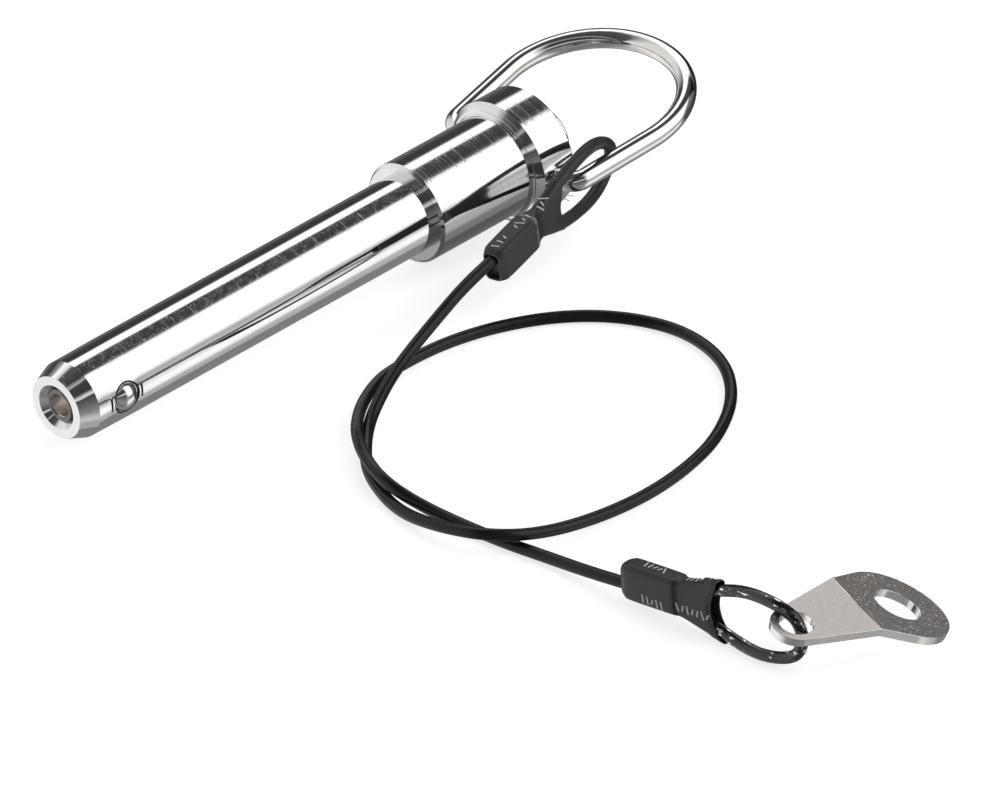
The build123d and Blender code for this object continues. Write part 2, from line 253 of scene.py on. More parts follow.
def crispCopy(node, settings):
    mesh = frame["nodes"][node].data.copy()
    if "custom_normal" in mesh.attributes:
        mesh.attributes.remove(mesh.attributes["custom_normal"])
    shape = bmesh.new()
    shape.from_mesh(mesh)
    bmesh.ops.remove_doubles(shape, verts=shape.verts, dist=copying["nearPoints"])
    level = radians(copying["levelFaces"])
    bmesh.ops.dissolve_limit(shape, angle_limit=level, verts=shape.verts, edges=shape.edges)
    sharp = radians(settings["sharp"])
    for face in shape.faces:
        face.smooth = True
    for edge in shape.edges:
        edge.smooth = edge.calc_face_angle(0) < sharp
    if settings.get("turned"):
        turnedMap(shape)
    shape.to_mesh(mesh)
    shape.free()
    piece = addObject(settings["name"], mesh)
    if settings.get("edge"):
        bevel = piece.modifiers.new("edge", "BEVEL")
        bevel.width, bevel.segments = settings["edge"] * mm, copying["edgeSegments"]
        bevel.limit_method, bevel.angle_limit = "ANGLE", sharp
        bevel.harden_normals = False
    weighted = piece.modifiers.new("flatFaces", "WEIGHTED_NORMAL")
    weighted.keep_sharp, weighted.weight = True, copying["faceWeight"]
    piece = settle(piece)
    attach(piece, bodyOf[node])
    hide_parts(node)
    return piece


crisp = {node: crispCopy(node, settings) for node, settings in crispPieces.items()}
print("steel pieces copied", {node: len(piece.data.polygons) for node, piece in crisp.items()})


# shrink sleeves: a box over the ferrule, then a neck that widens over the two strands
sleeve = {
    "ring": {
        "wall": 0.3, "inside": (1.0, 0.1), "cover": 0.05, "corner": 0.8, "worn": (2, 7),
        # distance, lower edge, upper edge, depth
        "box": [
            (0.0, -2.4, 2.4, 2.75), (0.12, -2.5, 2.5, 2.9), (1.2, -2.82, 2.82, 3.7), (1.7, -2.9, 2.9, 3.9),
            (9.9, -2.9, 2.9, 3.9), (10.35, -2.88, 2.88, 3.8), (10.8, -2.75, 2.75, 3.2),
            (11.3, -2.7, 2.7, 2.85),
        ],
        # distance, and how far the web dips between the strands
        "neck": [(12.6, 0.1), (14.2, 0.25), (16.0, 0.35), (17.6, 0.4)],
        # centre and radius of the round cut in the end, and the end's distance at its lower and upper edge
        "mouth": (21.8, -1.6, 3.3), "end": (19.3, 19.3), "dip": 0.4,
        # distance back from the end, share of the thickness
        "rounding": [(0.6, 1.0), (0.2, 0.98), (0.0, 0.94)],
    },
    "tab": {
        "wall": 0.28, "inside": (1.0, 0.1), "corner": 0.95, "worn": (2, -3),
        "box": [
            (0.0, -2.55, 2.55, 2.75), (0.12, -2.65, 2.65, 2.9), (1.0, -2.95, 2.95, 3.75),
            (1.4, -3.0, 3.0, 3.9), (9.9, -3.0, 3.0, 3.9), (10.35, -3.02, 2.98, 3.8),
            (10.8, -3.08, 2.9, 3.2), (11.4, -3.15, 2.85, 3.0), (13.5, -3.75, 3.35, 2.9),
            (15.2, -4.25, 3.75, 2.8), (16.6, -4.65, 4.15, 2.75),
        ],
        "mouth": (23.0, -0.4, 6.0), "end": (19.4, 18.2), "dip": 0.1,
        "open": {"lower": -5.45, "upper": 4.6, "depth": 2.7, "inside": (0.06, 3.0)},
        # distance back from the end, inset
        "rounding": [(0.5, 0), (0.06, 0.02), (0.0, 0.12)],
    },
}
cornerSteps = 6
webSteps = 5
flatLeft = 0.02  # between two corners, at the least
sleeveSmoothing = 2


def sectionRing(lower, upper, depth, corner, dip):
    half = depth / 2
    corner = min(corner, half - flatLeft)
    points = []

    def arc(y, z, start):
        for step in range(cornerSteps):
            angle = start + step * pi / 2 / (cornerSteps - 1)
            points.append((y + corner * cos(angle), z + corner * sin(angle)))

    def web(fromY, toY, z):
        for step in range(1, webSteps + 1):
            share = step / (webSteps + 1)
            points.append((fromY + (toY - fromY) * share, z - dip * sin(pi * share) * (1 if z > 0 else -1)))

    arc(upper - corner, corner - half, -pi / 2)
    arc(upper - corner, half - corner, 0)
    web(upper - corner, lower + corner, half)
    arc(lower + corner, half - corner, pi / 2)
    arc(lower + corner, corner - half, pi)
    web(lower + corner, upper - corner, -half)
    return points


def strandAt(path, place, distance):
    back = place.inverted()
    local = [back @ p / mm for p in path]
    for first, second in zip(local, local[1:]):
        if first.x <= distance < second.x:
            share = (distance - first.x) / (second.x - first.x)
            return first.lerp(second, share)
    return local[0]


def endEdge(settings, y, share):
    low, high = settings["end"]
    edge = low + (high - low) * share
    centreX, centreY, radius = settings["mouth"]
    off = y - centreY
    return min(edge, centreX - sqrt(radius**2 - off**2)) if abs(off) < radius else edge


def sleeveRings(settings, place, path, strandDiameter):
    rings = []

    def addRing(section, distance=0, lift=(0, 0), fromEnd=None):
        lowest, highest = min(p[0] for p in section), max(p[0] for p in section)
        ring = []
        for y, z in section:
            share = (y - lowest) / (highest - lowest)
            x = distance if fromEnd is None else endEdge(settings, y, share) - fromEnd
            rise = lift[0] + (lift[1] - lift[0]) * share
            ring.append(place @ (Vector((x, y, z + rise)) * mm))
        rings.append(ring)

    wall, corner, dip = settings["wall"], settings["corner"], settings["dip"]
    lower, upper, depth = settings["box"][0][1:]
    for distance in settings["inside"]:
        addRing(sectionRing(lower + wall, upper - wall, depth - 2 * wall, corner - wall, 0), distance)
    for distance, lower, upper, depth in settings["box"]:
        addRing(sectionRing(lower, upper, depth, corner, 0), distance)
    if "open" in settings:
        mouth = settings["open"]
        lower, upper, depth = mouth["lower"], mouth["upper"], mouth["depth"]
        for fromEnd, inset in settings["rounding"] + [(fromEnd, wall) for fromEnd in mouth["inside"]]:
            section = sectionRing(lower + inset, upper - inset, depth - 2 * inset, corner - inset, dip)
            addRing(section, fromEnd=fromEnd)
        return rings
    stations = [(distance, dipThere, None, 1.0) for distance, dipThere in settings["neck"]]
    stations += [(settings["end"][0], dip, fromEnd, thin) for fromEnd, thin in settings["rounding"]]
    for distance, dipThere, fromEnd, thin in stations:
        high, low = strandAt(path, place, distance), strandAt(path[::-1], place, distance)
        around = (strandDiameter / 2 + settings["cover"]) * thin
        section = sectionRing(low.y - around, high.y + around, 2 * around, around, dipThere * thin)
        addRing(section, distance, (low.z, high.z), fromEnd)
    return rings


def skin(name, rings, highlightRings):
    shape = bmesh.new()
    worn = shape.verts.layers.float.new("worn")
    loops = [[shape.verts.new(p) for p in ring] for ring in rings]
    # painted highlight: the listed rings are weighted, and the sleeve's material paints them lighter
    for index in highlightRings:
        for vert in loops[index]:
            vert[worn] = 1
    count = len(loops[0])
    for near, far in zip(loops, loops[1:]):
        for i in range(count):
            shape.faces.new((near[i], near[(i + 1) % count], far[(i + 1) % count], far[i]))
    for cap in (loops[0], loops[-1]):
        # from the upper tip across to the lower one, the near point with the far point
        nearSide = [cap[i % count] for i in range(cornerSteps - 1, cornerSteps - 1 - count // 2, -1)]
        farSide = [cap[i] for i in range(cornerSteps, cornerSteps + count // 2)]
        for i in range(len(nearSide) - 1):
            shape.faces.new((nearSide[i], nearSide[i + 1], farSide[i + 1], farSide[i]))
    bmesh.ops.recalc_face_normals(shape, faces=shape.faces)
    for face in shape.faces:
        face.smooth = True
    mesh = bpy.data.meshes.new(name)
    shape.to_mesh(mesh)
    shape.free()
    return mesh


def shrinkSleeve(name, settings, place, path, strandDiameter):
    rings = sleeveRings(settings, place, path, strandDiameter)
    piece = addObject(name, skin(name, rings, settings["worn"]))
    smooth = piece.modifiers.new("smooth", "SUBSURF")
    smooth.levels = smooth.render_levels = sleeveSmoothing
    return settle(piece)


ringSleeve = shrinkSleeve("ringSleeve", sleeve["ring"], ringSeat, ringLoopPath, ringLoop["diameter"])
tabSleeve = shrinkSleeve("tabSleeve", sleeve["tab"], tabSeat, tabLoopPath, tabLoop["diameter"])
print("sleeves shrunk on")


# helpers for the nodes of the materials and of the ticks
def newMaterial(name):
    material = bpy.data.materials.new(name)
    material.use_nodes = True
    tree = material.node_tree
    return material, tree, tree.nodes["Principled BSDF"]


def feed(tree, node, inputs):
    for key, value in inputs.items():
        if isinstance(value, bpy.types.NodeSocket):
            tree.links.new(value, node.inputs[key])
        else:
            node.inputs[key].default_value = value


def addNode(tree, kind, inputs=None, **settings):
    node = tree.nodes.new(kind)
    for key, value in settings.items():
        setattr(node, key, value)
    feed(tree, node, inputs or {})
    return node


def addRamp(tree, source, stops):
    node = addNode(tree, "ShaderNodeValToRGB", {0: source})
    ramp = node.color_ramp
    while len(ramp.elements) < len(stops):
        ramp.elements.new(0.5)
    for element, (place, colour) in zip(ramp.elements, stops):
        element.position = place
        element.color = (*colour, 1) if isinstance(colour, tuple) else (colour, colour, colour, 1)
    return node.outputs[0]


def compute(tree, operation, first, second=0.0):
    return addNode(tree, "ShaderNodeMath", {0: first, 1: second}, operation=operation).outputs[0]


def mapRange(tree, value, low, high, toLow=0.0, toHigh=1.0):
    inputs = {"Value": value, "From Min": low, "From Max": high, "To Min": toLow, "To Max": toHigh}
    return addNode(tree, "ShaderNodeMapRange", inputs).outputs[0]


def mixed(tree, share, first, second):
    return addNode(tree, "ShaderNodeMix", {"Factor": share, 6: first, 7: second}, data_type="RGBA").outputs[2]


def shaded(tree, share, colour, other):
    return mixed(tree, share, colour, (*other, 1))


def addBump(tree, shader, height, strength, distance=0.1):
    inputs = {"Height": height, "Strength": strength, "Distance": distance * mm}
    feed(tree, shader, {"Normal": addNode(tree, "ShaderNodeBump", inputs).outputs[0]})


def grain(tree, scale, detail):
    place = addNode(tree, "ShaderNodeTexCoord").outputs["Object"]
    inputs = {"Vector": place, "Scale": scale, "Detail": detail}
    return addNode(tree, "ShaderNodeTexNoise", inputs).outputs["Fac"]


# marks on the turned steel: brushed noise, and dots that leave gaps
brush = {"detail": 1.0, "roughness": 0.6}
dot = {"scatter": 0.7, "edge": 0.32, "middle": 0.16, "gapScale": 0.3}
noiseSpread = (0.3, 0.7)  # most of a noise falls between these
solidShare = 0.66  # of a patch, before it starts to fade
lathe = {"turn": 0.25, "depth": 0.02}  # the brushing's way, in full turns, and how deep its marks are
coverGrain = 4.0  # detail of the noise on the even steel and on the covers


def turnedPattern(tree, source, scale, turn):
    inputs = {"Vector": source, "Rotation": (0, 0, radians(turn)), "Scale": (*scale, 1)}
    return addNode(tree, "ShaderNodeMapping", inputs).outputs[0]


def brushed(tree, source, scale, turn=0.0):
    inputs = {
        "Vector": turnedPattern(tree, source, scale, turn), "Scale": 1.0, "Detail": brush["detail"],
        "Roughness": brush["roughness"],
    }
    return addNode(tree, "ShaderNodeTexNoise", inputs, noise_dimensions="2D").outputs["Fac"]


def dotted(tree, source, scale, turn):
    inputs = {
        "Vector": turnedPattern(tree, source, scale, turn), "Scale": 1.0, "Randomness": dot["scatter"],
    }
    cells = addNode(tree, "ShaderNodeTexVoronoi", inputs, voronoi_dimensions="2D")
    rare = brushed(tree, source, [v * dot["gapScale"] for v in scale])
    near = mapRange(tree, cells.outputs["Distance"], dot["edge"], dot["middle"])
    return compute(tree, "MULTIPLY", near, rare)


def patch(tree, value, low, high):
    # one between the two limits, fading to nothing over a sixth of the width at each
    middle, half = (low + high) / 2, (high - low) / 2
    off = compute(tree, "ABSOLUTE", compute(tree, "SUBTRACT", value, middle))
    return mapRange(tree, off, half, half * solidShare)


def pinSpace(tree, x=0.0, roll=0.0):
    # x along the pin from a place on its axis, y and z across it
    place = addNode(tree, "ShaderNodeTexCoord").outputs["Object"]
    inputs = {"Vector": place, "Rotation": (0, tilt, 0), "Location": (-x, 0, 0)}
    level = addNode(tree, "ShaderNodeMapping", inputs).outputs[0]
    turned = addNode(tree, "ShaderNodeMapping", {"Vector": level, "Rotation": (roll, 0, 0)}).outputs[0]
    return addNode(tree, "ShaderNodeSeparateXYZ", {0: turned}).outputs


def across(tree, first, second):
    squares = [compute(tree, "MULTIPLY", value, value) for value in (first, second)]
    return compute(tree, "SQRT", compute(tree, "ADD", *squares))


def ballSeamShade(tree, hole):
    # painted shade: one in the narrow lip round each ball and in the two staking slots beside it, where the
    # colour is painted nearly black
    x, y, z = pinSpace(tree, hole["x"] * mm, radians(hole["roll"]))
    lip = patch(tree, across(tree, x, z), *metres(hole["lip"]))
    slot = patch(tree, compute(tree, "ABSOLUTE", x), *metres(hole["slot"]))
    slot = compute(tree, "MULTIPLY", slot, patch(tree, z, *metres(hole["slotReach"])))
    nearSide = compute(tree, "GREATER_THAN", compute(tree, "ABSOLUTE", y), hole["outside"] * mm)
    return compute(tree, "MULTIPLY", compute(tree, "MAXIMUM", lip, slot), nearSide)


def markedRoughness(tree, settings, unrolled, around):
    rough = settings["polish"]
    for key, pattern in (("lines", brushed), ("specks", dotted), ("scratches", brushed)):
        if key not in settings:
            continue
        mark = settings[key]
        noise = pattern(tree, unrolled, mark["scale"], mark.get("turn", 0))
        level = addRamp(tree, noise, [(mark["from"], 0.0), (mark["to"], mark["rough"])])
        if "between" in mark:
            level = compute(tree, "MULTIPLY", level, patch(tree, around, *mark["between"]))
        if "after" in mark:
            reached = compute(tree, "GREATER_THAN", pinSpace(tree)[0], mark["after"] * mm)
            level = compute(tree, "MULTIPLY", level, reached)
        rough = compute(tree, "MAXIMUM", level, rough)
    return rough


def steelColour(tree, settings, unrolled, around):
    cloud = brushed(tree, unrolled, settings["cloud"])
    colour = addRamp(tree, cloud, list(zip(noiseSpread, settings["colour"])))
    # painted shade: the lip round each ball and its staking slots are painted nearly black
    if "ballHoleShade" in settings:
        hole = settings["ballHoleShade"]
        colour = shaded(tree, ballSeamShade(tree, hole), colour, hole["colour"])
    # painted shade: the collar's colour is painted darker where it turns down and back
    if "paintedUnderShade" in settings:
        collarShade = settings["paintedUnderShade"]
        down = mapRange(tree, around, *collarShade["around"])
        short = compute(tree, "LESS_THAN", pinSpace(tree)[0], collarShade["upTo"] * mm)
        colour = shaded(tree, compute(tree, "MULTIPLY", down, short), colour, collarShade["colour"])
    return colour


def turnedSteel(name, settings):
    material, tree, shader = newMaterial(name)
    unrolled = addNode(tree, "ShaderNodeUVMap", uv_map="turned").outputs[0]
    tangent = addNode(tree, "ShaderNodeTangent", direction_type="UV_MAP", uv_map="turned").outputs[0]
    around = addNode(tree, "ShaderNodeSeparateXYZ", {0: unrolled}).outputs["X"]
    rough = markedRoughness(tree, settings, unrolled, around)
    colour = steelColour(tree, settings, unrolled, around)
    # painted light: inside the bore the colour is painted light, against the shade deep in the hole
    if "paintedBoreLight" in settings:
        paintedBoreLight = settings["paintedBoreLight"]
        x, y, z = pinSpace(tree)
        inside = compute(tree, "LESS_THAN", across(tree, y, z), paintedBoreLight["radius"] * mm)
        colour = shaded(tree, inside, colour, paintedBoreLight["colour"])
        rough = mapRange(tree, inside, 0.0, 1.0, rough, paintedBoreLight["rough"])
    feed(tree, shader, {
        "Metallic": 1, "Anisotropic": settings["anisotropy"], "Anisotropic Rotation": lathe["turn"],
        "Tangent": tangent, "Roughness": rough, "Base Color": colour,
    })
    addBump(tree, shader, rough, settings["bump"], lathe["depth"])
    return material


steel = {
    "shank": {
        "polish": 0.05, "anisotropy": 0.3, "bump": 0.1, "cloud": (300, 300),
        "specks": {
            "scale": (2300, 2300), "turn": 30, "from": 0.44, "to": 0.6, "rough": 0.8,
            "between": (-0.0062, -0.001), "after": -70.2,
        },
        "scratches": {
            "scale": (150, 4500), "turn": 38, "from": 0.72, "to": 0.75, "rough": 0.6,
            "between": (-0.0062, -0.001),
        },
        "colour": [(0.80, 0.795, 0.785), (0.84, 0.835, 0.825)],
        # painted shade round the ball and in its slots
        "ballHoleShade": {
            "x": -65.5, "roll": 2.5, "lip": (2.28, 2.66), "slot": (2.86, 3.34), "slotReach": (-1.25, 1.25),
            "outside": 5.0, "colour": (0.03, 0.03, 0.03),
        },
    },
    "collar": {
        "polish": 0.09, "anisotropy": 0.85, "bump": 0.1, "cloud": (60, 2000),
        "lines": {
            "scale": (50, 3000), "from": 0.54, "to": 0.68, "rough": 0.5, "between": (-0.0064, -0.0006),
        },
        "scratches": {
            "scale": (120, 5000), "turn": 25, "from": 0.74, "to": 0.77, "rough": 0.4,
            "between": (-0.0056, 0.001),
        },
        "colour": [(0.78, 0.775, 0.765), (0.86, 0.855, 0.845)],
        # where the collar turns down and back, its colour is painted darker: painted shade
        "paintedUnderShade": {"around": (-0.0138, -0.0147), "upTo": 19.2, "colour": (0.33, 0.325, 0.315)},
    },
    "dark": {
        "polish": 0.25, "anisotropy": 0.5, "bump": 0.2, "cloud": (60, 2000),
        "lines": {"scale": (100, 4000), "from": 0.5, "to": 0.7, "rough": 0.5},
        "colour": [(0.17, 0.155, 0.145), (0.21, 0.195, 0.18)],
        # painted light in the bore
        "paintedBoreLight": {"radius": 1.82, "colour": (0.92, 0.88, 0.85), "rough": 0.3},
    },
}
steelFinish = {key: turnedSteel(key + "Steel", settings) for key, settings in steel.items()}


def evenSteel(name, settings):
    material, tree, shader = newMaterial(name)
    noise = grain(tree, settings["scale"], coverGrain)
    feed(tree, shader, {
        "Metallic": 1, "Base Color": addRamp(tree, noise, list(zip(noiseSpread, settings["colour"]))),
        "Roughness": addRamp(tree, noise, settings["rough"]),
    })
    addBump(tree, shader, noise, settings["bump"])
    return material


even = {
    "ring": {
        "scale": 500, "rough": [(0.55, 0.07), (0.75, 0.16)], "bump": 0.01,
        "colour": [(0.74, 0.72, 0.70), (0.82, 0.80, 0.78)],
    },
    "ball": {
        "scale": 500, "rough": [(0.3, 0.05), (0.7, 0.1)], "bump": 0.01,
        "colour": [(0.80, 0.795, 0.785), (0.84, 0.835, 0.825)],
    },
    "cut": {
        "scale": 900, "rough": [(0.3, 0.1), (0.7, 0.22)], "bump": 0.02,
        "colour": [(0.82, 0.80, 0.78), (0.92, 0.90, 0.88)],
    },
    "hidden": {
        "scale": 900, "rough": [(0.3, 0.3), (0.7, 0.45)], "bump": 0.05,
        "colour": [(0.45, 0.44, 0.43), (0.55, 0.54, 0.53)],
    },
}
evenFinish = {key: evenSteel(key + "Steel", settings) for key, settings in even.items()}


def blackCover(name, settings):
    material, tree, shader = newMaterial(name)
    noise = grain(tree, settings["scale"], coverGrain)
    colour = addRamp(tree, noise, settings["colour"])
    # painted highlight: the weighted rim and crease rings are painted lighter, in place of the light the lip
    # catches
    if "worn" in settings:
        rim = addNode(tree, "ShaderNodeAttribute", attribute_name="worn").outputs["Fac"]
        rim = addRamp(tree, compute(tree, "MULTIPLY", rim, noise), settings["worn"]["ramp"])
        colour = shaded(tree, rim, colour, settings["worn"]["colour"])
    feed(tree, shader, {
        "Base Color": colour, "Roughness": addRamp(tree, noise, settings["rough"]),
        "Specular IOR Level": settings["specular"],
    })
    addBump(tree, shader, noise, settings["bump"])
    return material


black = {
    "sleeve": {
        "scale": 1500, "colour": [(0.3, 0.026), (0.7, 0.038)], "rough": [(0.3, 0.36), (0.7, 0.5)],
        "bump": 0.06, "specular": 0.5,
        # painted highlight on the rim and crease
        "worn": {"ramp": [(0.2, 0.0), (0.34, 1.0)], "colour": (0.24, 0.24, 0.24)},
    },
    "cable": {
        "scale": 900, "colour": [(0.3, 0.008), (0.7, 0.014)], "rough": [(0.3, 0.24), (0.7, 0.34)],
        "bump": 0.05, "specular": 0.32,
    },
}
blackFinish = {key: blackCover(key + "Black", settings) for key, settings in black.items()}


def glintingCable(name, settings):
    # a clear-coated dark strand, with glints where its wires show through
    material, tree, shader = newMaterial(name)
    place = addNode(tree, "ShaderNodeTexCoord").outputs["Object"]
    stretched = addNode(tree, "ShaderNodeMapping", {"Vector": place, "Scale": settings["stretch"]}).outputs[0]
    inputs = {"Vector": stretched, "Scale": 1.0, "Detail": settings["detail"]}
    noise = addNode(tree, "ShaderNodeTexNoise", inputs).outputs["Fac"]
    glint = addRamp(tree, noise, settings["glint"])
    feed(tree, shader, {
        "Metallic": glint, "Base Color": shaded(tree, glint, (*settings["dark"], 1), settings["bright"]),
        "Roughness": settings["rough"], "IOR": settings["ior"],
    })
    addBump(tree, shader, noise, settings["bump"])
    return material


glinting = {
    "stretch": (1600, 500, 1600), "detail": 2.0, "glint": [(0.6, 0.0), (0.66, 1.0)],
    "dark": (0.012, 0.012, 0.012), "bright": (0.95, 0.95, 0.95), "rough": 0.13, "ior": 1.6, "bump": 0.1,
}
blackFinish["glossy"] = glintingCable("glossyBlack", glinting)

tabSettings = {
    # the way that its neck and its lobe face, and how near to it, in degrees, a face is rolled
    "flats": [(0.005, -0.188, 0.982), (0.348, -0.24, 0.907)], "rolledWithin": 3,
    "fine": {
        "scale": 4000.0, "detail": 3.0, "colour": [(0.35, (0.84, 0.80, 0.77)), (0.65, (0.92, 0.88, 0.85))],
        "bump": 0.01,
    },
    "rough": [(0.3, 0.28), (0.7, 0.34)],
    "pits": {"scale": 3400.0, "detail": 0.0, "from": 0.66, "to": 0.7, "rough": 0.85},
}


def tabSteel(settings):
    material, tree, shader = newMaterial("tabSteel")
    fine, pits = settings["fine"], settings["pits"]
    noise = grain(tree, fine["scale"], fine["detail"])
    spots = grain(tree, pits["scale"], pits["detail"])
    spots = addRamp(tree, spots, [(pits["from"], 0.0), (pits["to"], pits["rough"])])
    rough = compute(tree, "MAXIMUM", addRamp(tree, noise, settings["rough"]), spots)
    feed(tree, shader, {
        "Metallic": 1, "Base Color": addRamp(tree, noise, fine["colour"]), "Roughness": rough,
    })
    addBump(tree, shader, noise, fine["bump"])
    return material


def printingInk(settings):
    material, tree, shader = newMaterial("whitePrint")
    feed(tree, shader, {"Base Color": (*settings["colour"], 1), "Roughness": settings["rough"]})
    return material


ink = {"colour": (0.85, 0.85, 0.84), "rough": 0.6}
tabFinish = tabSteel(tabSettings)
whitePrint = printingInk(ink)


# plain ticks printed on the sleeves, in short groups
ticks = {
    "length": 1.6, "width": 0.24, "thickness": 0.04, "spacing": 0.85, "slant": 0.5, "shortest": 0.5,
    "reach": 20, "lift": 0.01, "seed": 7,
    # from, to and the way in to the sleeve, from its seat
    "ring": [
        ((1.7, 6, -0.1), (4.2, 6, 0.0), (0, -1, 0)), ((7.2, 6, 0.1), (10.3, 6, 0.3), (0, -1, 0)),
        ((13.2, 2.5, 4), (16.6, 3.6, 4), (0, 0, -1)),
    ],
    "tab": [
        ((3.8, 6, -0.3), (7.4, 6, -0.2), (0, -1, 0)), ((12.0, 7, -0.2), (16.4, 7, -0.5), (0, -1, 0)),
        ((4.6, -1.5, 4), (8.2, -1.7, 4), (0, 0, -1)), ((11.0, -1.2, 4), (16.6, -1.4, 4), (0, 0, -1)),
    ],
}
tickSockets = {
    "Rows": "Geometry", "Sleeve": "Object", "Ink": "Material", "Spacing": "Float", "Size": "Vector",
    "Slant": "Float", "Shortest": "Float", "Reach": "Float", "Lift": "Float", "Seed": "Int",
}


def randomBetween(tree, low, high, seed):
    inputs = {2: low, 3: high, "Seed": seed}
    return addNode(tree, "FunctionNodeRandomValue", inputs, data_type="FLOAT").outputs[1]


def dropOn(tree, given, spots):
    # the points of the row moved in on to the sleeve, just proud of it
    inward = addNode(tree, "GeometryNodeInputNamedAttribute", {"Name": "inward"}, data_type="FLOAT_VECTOR")
    sleeveShape = addNode(tree, "GeometryNodeObjectInfo", {"Object": given["Sleeve"]}).outputs["Geometry"]
    ray = addNode(tree, "GeometryNodeRaycast", {
        "Target Geometry": sleeveShape, "Ray Direction": inward.outputs[0], "Ray Length": given["Reach"],
    })
    out = ray.outputs["Hit Normal"]
    rise = addNode(tree, "ShaderNodeVectorMath", {0: out, "Scale": given["Lift"]}, operation="SCALE")
    placed = addNode(tree, "GeometryNodeSetPosition", {
        "Geometry": spots.outputs["Points"], "Selection": ray.outputs["Is Hit"],
        "Position": ray.outputs["Hit Position"], "Offset": rise.outputs[0],
    })
    return placed.outputs[0], out


def tickTurn(tree, given, out, rowWay):
    # flat on the sleeve, square to the row, then slanted at random
    upright = addNode(tree, "FunctionNodeAlignRotationToVector", {"Vector": out}, axis="Z").outputs[0]
    inputs = {"Rotation": upright, "Vector": rowWay}
    inLine = addNode(tree, "FunctionNodeAlignRotationToVector", inputs, axis="X", pivot_axis="Z").outputs[0]
    least = compute(tree, "MULTIPLY", given["Slant"], -1.0)
    slant = randomBetween(tree, least, given["Slant"], given["Seed"])
    slant = addNode(tree, "ShaderNodeCombineXYZ", {"Z": slant}).outputs[0]
    slant = addNode(tree, "FunctionNodeEulerToRotation", {0: slant}).outputs[0]
    return addNode(tree, "FunctionNodeRotateRotation", {0: inLine, 1: slant}, rotation_space="LOCAL").outputs[0]


def tickTree():
    tree = bpy.data.node_groups.new("ticks", "GeometryNodeTree")
    for name, kind in tickSockets.items():
        tree.interface.new_socket(name, in_out="INPUT", socket_type="NodeSocket" + kind)
    tree.interface.new_socket("Ticks", in_out="OUTPUT", socket_type="NodeSocketGeometry")
    given = tree.nodes.new("NodeGroupInput").outputs
    line = addNode(tree, "GeometryNodeMeshToCurve", {"Mesh": given["Rows"]}).outputs[0]
    inputs = {"Curve": line, "Length": given["Spacing"]}
    spots = addNode(tree, "GeometryNodeCurveToPoints", inputs, mode="LENGTH")
    placed, out = dropOn(tree, given, spots)
    share = randomBetween(tree, given["Shortest"], 1.0, given["Seed"])
    bars = addNode(tree, "GeometryNodeInstanceOnPoints", {
        "Points": placed,
        "Instance": addNode(tree, "GeometryNodeMeshCube", {"Size": given["Size"]}).outputs[0],
        "Rotation": tickTurn(tree, given, out, spots.outputs["Tangent"]),
        "Scale": addNode(tree, "ShaderNodeCombineXYZ", {"X": 1.0, "Y": share, "Z": 1.0}).outputs[0],
    }).outputs[0]
    real = addNode(tree, "GeometryNodeRealizeInstances", {0: bars}).outputs[0]
    inked = addNode(tree, "GeometryNodeSetMaterial", {"Geometry": real, "Material": given["Ink"]}).outputs[0]
    tree.links.new(inked, tree.nodes.new("NodeGroupOutput").inputs[0])
    return tree


def printTicks(name, rows, place, target, tree):
    mesh = bpy.data.meshes.new(name + "Rows")
    ends = [place @ (Vector(p) * mm) for row in rows for p in row[:2]]
    mesh.from_pydata(ends, [(2 * i, 2 * i + 1) for i in range(len(rows))], [])
    inward = mesh.attributes.new("inward", "FLOAT_VECTOR", "POINT")
    for i, row in enumerate(rows):
        for end in (2 * i, 2 * i + 1):
            inward.data[end].vector = place.to_3x3() @ Vector(row[2])
    piece = addObject(name + "Rows", mesh)
    maker = piece.modifiers.new("ticks", "NODES")
    maker.node_group = tree
    values = {
        "Sleeve": target, "Ink": whitePrint, "Slant": ticks["slant"], "Shortest": ticks["shortest"],
        "Seed": ticks["seed"], "Size": metres(ticks[key] for key in ("width", "length", "thickness")),
        "Spacing": ticks["spacing"] * mm, "Reach": ticks["reach"] * mm, "Lift": ticks["lift"] * mm,
    }
    for socket in tree.interface.items_tree:
        if socket.name in values:
            maker[socket.identifier] = values[socket.name]
    return settle(piece, name)


tickMaker = tickTree()
ringTicks = printTicks("ringTicks", ticks["ring"], ringSeat, ringSleeve, tickMaker)
tabTicks = printTicks("tabTicks", ticks["tab"], tabSeat, tabSleeve, tickMaker)
print("ticks printed", len(ringTicks.data.polygons), len(tabTicks.data.polygons))


# which finish each piece has
finishes = {
    crisp["shank"]: steelFinish["shank"], crisp["handle"]: steelFinish["collar"],
    crisp["push_button"]: steelFinish["collar"], crisp["spindle"]: steelFinish["dark"],
    crisp["ring_handle"]: evenFinish["ring"], crisp["locking_ball_1"]: evenFinish["ball"],
    crisp["locking_ball_2"]: evenFinish["ball"], crisp["tab"]: tabFinish,
    ringSleeve: blackFinish["sleeve"], tabSleeve: blackFinish["sleeve"], ringLoopPiece: blackFinish["sleeve"],
    cablePiece: blackFinish["cable"], tabLoopPiece: blackFinish["glossy"],
    crisp["button_spring"]: evenFinish["hidden"],
}
for node in ("button_clip", "ferrule_ring_end", "ferrule_tab_end"):
    finishes[frame["nodes"][node]] = evenFinish["hidden"]
for piece, finish in finishes.items():
    piece.data.materials.clear()
    piece.data.materials.append(finish)

# the tab's cut edges, hole walls and bend are brighter than its rolled faces
crisp["tab"].data.materials.append(evenFinish["cut"])
rolled = radians(tabSettings["rolledWithin"])
for face in crisp["tab"].data.polygons:
    slants = [face.normal.angle(Vector(flat)) for flat in tabSettings["flats"]]
    face.material_index = int(all(rolled < slant < pi - rolled for slant in slants))
print("materials made")


